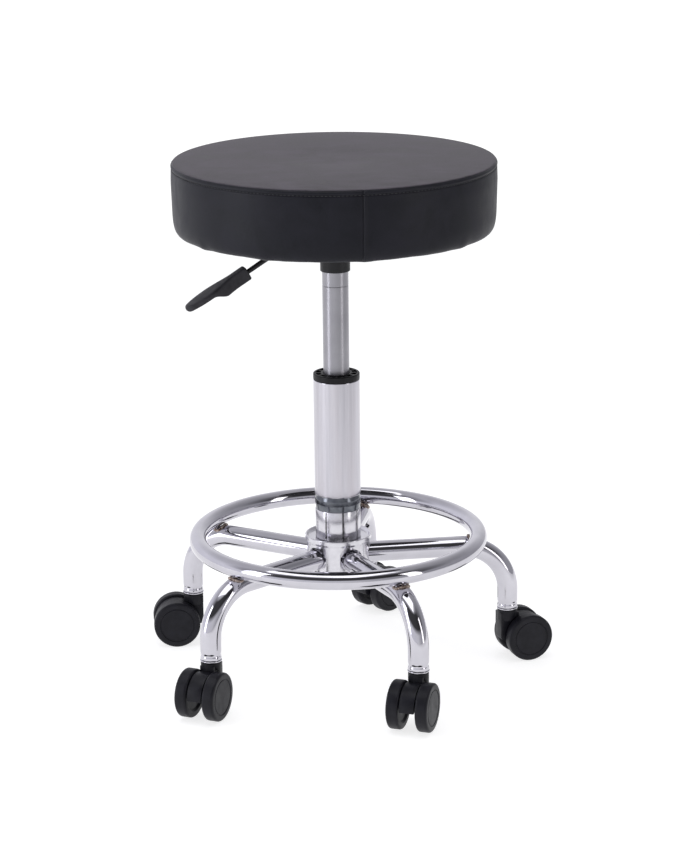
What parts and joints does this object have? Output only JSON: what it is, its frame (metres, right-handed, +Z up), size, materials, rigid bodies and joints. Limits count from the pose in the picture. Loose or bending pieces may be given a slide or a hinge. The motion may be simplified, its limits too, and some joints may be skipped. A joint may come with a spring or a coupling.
{
  "type": "swivel stool",
  "caption": "Round padded swivel stool on a gas lift, with a release lever, chromed bent-tube star base, foot ring and twin-wheel casters.",
  "frame": {"origin": "on the floor, under the middle of the footprint; the column's axis stands 12 mm towards -X and 7 mm towards -Y of it, because five casters make an uneven footprint", "axes": "+Z up along the column; -Y towards the side where the release lever is at the left; +X to the right of that side"},
  "size_m": [0.4478, 0.4499, 0.5681],
  "materials": {
    "chrome": "bright chrome plate on steel tube, near-mirror",
    "satin_steel": "fine-ground and hard-chromed gas-spring cylinder, satin with soft vertical highlights",
    "painted_steel": "black semi-gloss paint on pressed steel",
    "zinc_steel": "zinc-plated steel fasteners and pins",
    "black_plastic": "fine-grained black nylon",
    "caster_plastic": "smooth satin black nylon with faint moulding sheen",
    "lever_plastic": "charcoal plastic, lightly textured",
    "vinyl": "charcoal-black leatherette with a soft mottled sheen on top and twin seam lines round the edge",
    "foam": "open-cell upholstery foam",
    "plywood": "raw plywood disc",
    "felt": "thin black non-woven underside cloth",
    "rubber": "moulded black rubber"
  },
  "bodies": {
    "base": {"hub": "chrome", "slotted_sleeve": "chrome", "column_tube": "chrome", "guide_bush": "black_plastic", "thrust_washer": "zinc_steel", "foot_ring": "chrome", "leg_1": "chrome", "leg_2": "chrome", "leg_3": "chrome", "leg_4": "chrome", "leg_5": "chrome", "caster_1_socket": "chrome", "caster_1_stem": "zinc_steel", "caster_2_socket": "chrome", "caster_2_stem": "zinc_steel", "caster_3_socket": "chrome", "caster_3_stem": "zinc_steel", "caster_4_socket": "chrome", "caster_4_stem": "zinc_steel", "caster_5_socket": "chrome", "caster_5_stem": "zinc_steel"},
    "piston": {"piston_rod": "satin_steel", "rod_clip": "zinc_steel", "bump_stop": "rubber"},
    "seat": {"gas_cylinder": "satin_steel", "taper_socket": "painted_steel", "release_housing": "painted_steel", "lever_pin": "zinc_steel", "mounting_plate": "painted_steel", "seat_bolt_1": "zinc_steel", "seat_bolt_2": "zinc_steel", "seat_bolt_3": "zinc_steel", "seat_bolt_4": "zinc_steel", "seat_board": "plywood", "dust_cover": "felt", "seat_foam": "foam", "seat_cover": "vinyl"},
    "lever": {"lever_rod": "painted_steel", "lever_handle": "lever_plastic"},
    "button": {"release_button": "zinc_steel"},
    "caster_1": {"caster_1_housing": "caster_plastic", "caster_1_axle": "zinc_steel"},
    "caster_1_left": {"caster_1_wheel_left": "caster_plastic"},
    "caster_1_right": {"caster_1_wheel_right": "caster_plastic"},
    "caster_2": {"caster_2_housing": "caster_plastic", "caster_2_axle": "zinc_steel"},
    "caster_2_left": {"caster_2_wheel_left": "caster_plastic"},
    "caster_2_right": {"caster_2_wheel_right": "caster_plastic"},
    "caster_3": {"caster_3_housing": "caster_plastic", "caster_3_axle": "zinc_steel"},
    "caster_3_left": {"caster_3_wheel_left": "caster_plastic"},
    "caster_3_right": {"caster_3_wheel_right": "caster_plastic"},
    "caster_4": {"caster_4_housing": "caster_plastic", "caster_4_axle": "zinc_steel"},
    "caster_4_left": {"caster_4_wheel_left": "caster_plastic"},
    "caster_4_right": {"caster_4_wheel_right": "caster_plastic"},
    "caster_5": {"caster_5_housing": "caster_plastic", "caster_5_axle": "zinc_steel"},
    "caster_5_left": {"caster_5_wheel_left": "caster_plastic"},
    "caster_5_right": {"caster_5_wheel_right": "caster_plastic"}
  },
  "joints": [
    {"name": "seat_swivel", "type": "hinge", "parent": "base", "child": "piston", "pos_m": [-0.012, -0.007, 0.118], "axis": [0, 0, 1], "continuous": true},
    {"name": "seat_height", "type": "slide", "parent": "piston", "child": "seat", "axis": [0, 0, 1], "range_m": [-0.105, 0.03]},
    {"name": "lever_pull", "type": "hinge", "parent": "seat", "child": "lever", "pos_m": [-0.03267, -0.01452, 0.477], "axis": [-0.342, 0.9397, 0], "range_deg": [0, 7]},
    {"name": "button_press", "type": "slide", "parent": "seat", "child": "button", "axis": [0, 0, -1], "range_m": [0, 0.0031]},
    {"name": "caster_1_swivel", "type": "hinge", "parent": "base", "child": "caster_1", "pos_m": [-0.17675, 0.08357, 0.05], "axis": [0, 0, 1], "continuous": true},
    {"name": "caster_1_left_spin", "type": "hinge", "parent": "caster_1", "child": "caster_1_left", "pos_m": [-0.19627, 0.08186, 0.026], "axis": [0.0872, -0.9962, 0], "continuous": true},
    {"name": "caster_1_right_spin", "type": "hinge", "parent": "caster_1", "child": "caster_1_right", "pos_m": [-0.19627, 0.08186, 0.026], "axis": [0.0872, -0.9962, 0], "continuous": true},
    {"name": "caster_2_swivel", "type": "hinge", "parent": "base", "child": "caster_2", "pos_m": [-0.14701, -0.13783, 0.05], "axis": [0, 0, 1], "continuous": true},
    {"name": "caster_2_left_spin", "type": "hinge", "parent": "caster_2", "child": "caster_2_left", "pos_m": [-0.15479, -0.15582, 0.026], "axis": [0.9178, -0.3971, 0], "continuous": true},
    {"name": "caster_2_right_spin", "type": "hinge", "parent": "caster_2", "child": "caster_2_right", "pos_m": [-0.15479, -0.15582, 0.026], "axis": [0.9178, -0.3971, 0], "continuous": true},
    {"name": "caster_3_swivel", "type": "hinge", "parent": "base", "child": "caster_3", "pos_m": [0.07071, -0.17583, 0.05], "axis": [0, 0, 1], "continuous": true},
    {"name": "caster_3_left_spin", "type": "hinge", "parent": "caster_3", "child": "caster_3_left", "pos_m": [0.06433, -0.19436, 0.026], "axis": [0.9455, -0.3256, 0], "continuous": true},
    {"name": "caster_3_right_spin", "type": "hinge", "parent": "caster_3", "child": "caster_3_right", "pos_m": [0.06433, -0.19436, 0.026], "axis": [0.9455, -0.3256, 0], "continuous": true},
    {"name": "caster_4_swivel", "type": "hinge", "parent": "base", "child": "caster_4", "pos_m": [0.17412, 0.01949, 0.05], "axis": [0, 0, 1], "continuous": true},
    {"name": "caster_4_left_spin", "type": "hinge", "parent": "caster_4", "child": "caster_4_left", "pos_m": [0.19242, 0.02651, 0.026], "axis": [-0.3584, 0.9336, 0], "continuous": true},
    {"name": "caster_4_right_spin", "type": "hinge", "parent": "caster_4", "child": "caster_4_right", "pos_m": [0.19242, 0.02651, 0.026], "axis": [-0.3584, 0.9336, 0], "continuous": true},
    {"name": "caster_5_swivel", "type": "hinge", "parent": "base", "child": "caster_5", "pos_m": [0.02032, 0.1782, 0.05], "axis": [0, 0, 1], "continuous": true},
    {"name": "caster_5_left_spin", "type": "hinge", "parent": "caster_5", "child": "caster_5_left", "pos_m": [0.03442, 0.19182, 0.026], "axis": [-0.6947, 0.7193, 0], "continuous": true},
    {"name": "caster_5_right_spin", "type": "hinge", "parent": "caster_5", "child": "caster_5_right", "pos_m": [0.03442, 0.19182, 0.026], "axis": [-0.6947, 0.7193, 0], "continuous": true}
  ],
  "couplings": [
    {"joint": "button_press", "follows": "lever_pull", "m_per_rad": 0.025}
  ]
}
